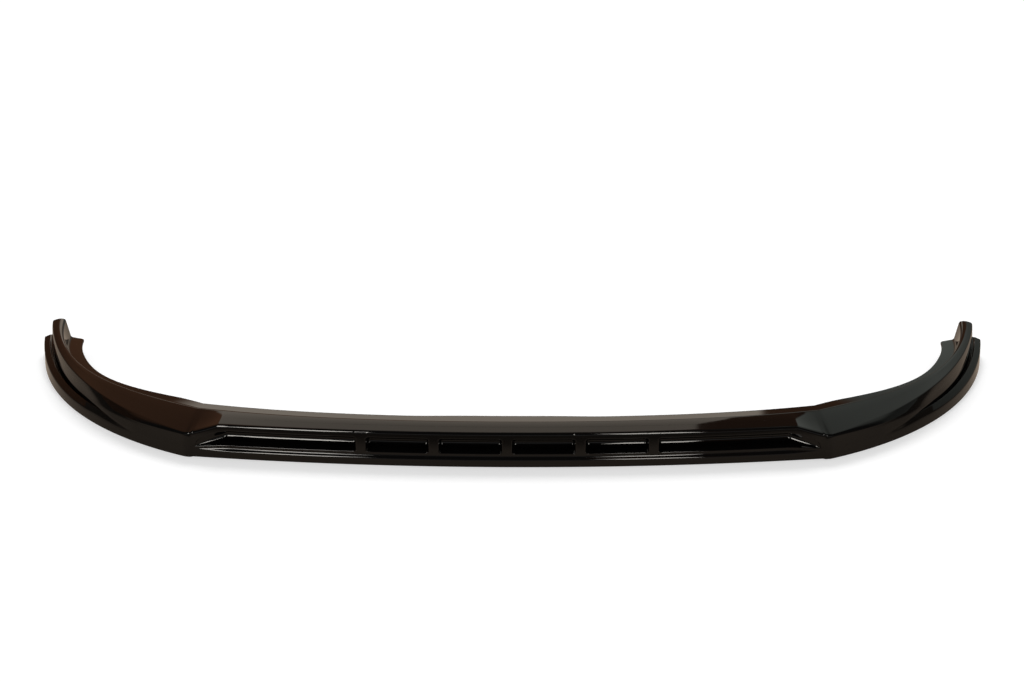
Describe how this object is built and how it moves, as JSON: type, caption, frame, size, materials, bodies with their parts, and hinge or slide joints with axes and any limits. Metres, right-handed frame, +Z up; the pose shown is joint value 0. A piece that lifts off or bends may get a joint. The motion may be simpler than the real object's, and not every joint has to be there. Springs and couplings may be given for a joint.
{
  "type": "front splitter lip",
  "caption": "Car front lip moulded in one gloss-black piece: a long centre with recesses between ribs, and swept-back wings with a fin, a groove and a winglet.",
  "frame": {"origin": "middle of the lip's footprint on the floor, at the height of its lower edge", "axes": "+X across the car towards its left side, -Y forward, +Z up"},
  "size_m": [1.849, 0.515, 0.0726],
  "materials": {
    "gloss_black": "gloss"
  },
  "bodies": {
    "root": {"splitter_lip": "gloss_black"}
  },
  "joints": []
}
